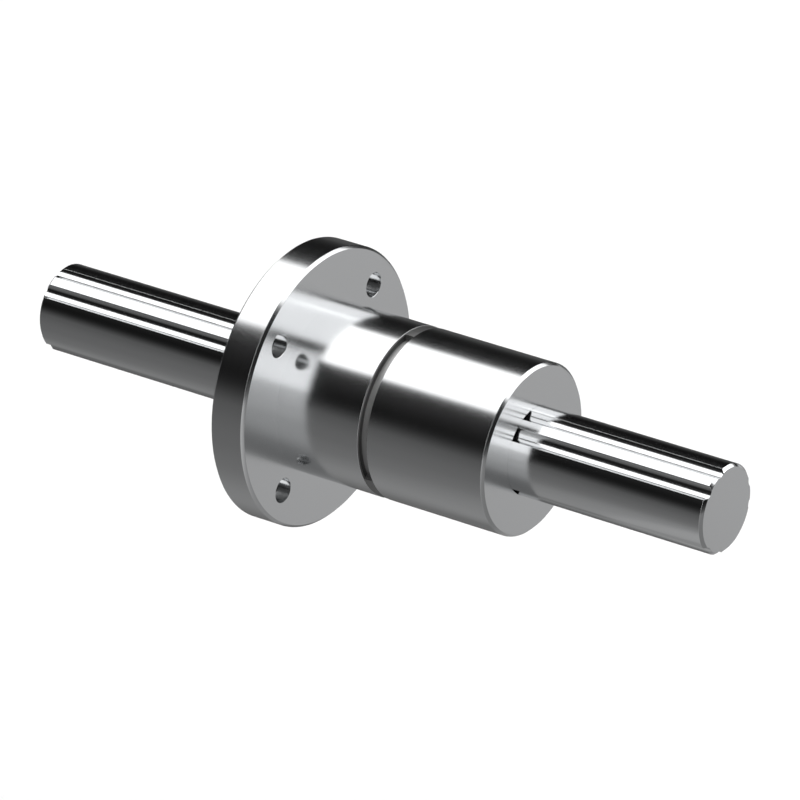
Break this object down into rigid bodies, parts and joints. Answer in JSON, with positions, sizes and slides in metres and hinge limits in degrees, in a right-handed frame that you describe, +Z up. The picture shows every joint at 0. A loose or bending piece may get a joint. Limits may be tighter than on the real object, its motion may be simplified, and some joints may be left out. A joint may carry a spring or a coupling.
{
  "type": "flanged ball spline",
  "caption": "Splined shaft that slides through a round flanged nut on recirculating balls and carries torque.",
  "frame": {"origin": "centre of the screw circle in the flange's mounting face, on the shaft's axis", "axes": "+X along the shaft from the flange towards the nut's nose, +Z up"},
  "size_m": [0.14, 0.051, 0.051],
  "materials": {
    "ground_steel": "fine turned and ground",
    "hard_chrome": "ground and polished",
    "spring_steel": "dark satin",
    "ball_steel": "polished",
    "black_plastic": "moulded"
  },
  "bodies": {
    "nut": {"cage_segment_1": "black_plastic", "cage_segment_2": "black_plastic", "cage_segment_3": "black_plastic", "flange_nut": "ground_steel", "front_end_cap": "black_plastic", "loaded_balls_1": "ball_steel", "loaded_balls_2": "ball_steel", "loaded_balls_3": "ball_steel", "loaded_balls_4": "ball_steel", "loaded_balls_5": "ball_steel", "loaded_balls_6": "ball_steel", "lock_pin_1": "ball_steel", "lock_pin_2": "ball_steel", "lock_pin_3": "ball_steel", "lock_ring": "spring_steel", "nose_ring": "ground_steel", "rear_end_cap": "black_plastic", "rear_ring": "ground_steel", "return_balls_1": "ball_steel", "return_balls_2": "ball_steel", "return_balls_3": "ball_steel", "return_balls_4": "ball_steel", "return_balls_5": "ball_steel", "return_balls_6": "ball_steel"},
    "shaft": {"spline_shaft": "hard_chrome"}
  },
  "joints": [
    {"name": "shaft_slide", "type": "slide", "parent": "nut", "child": "shaft", "axis": [1, 0, 0], "range_m": [-0.038, 0.05]}
  ]
}
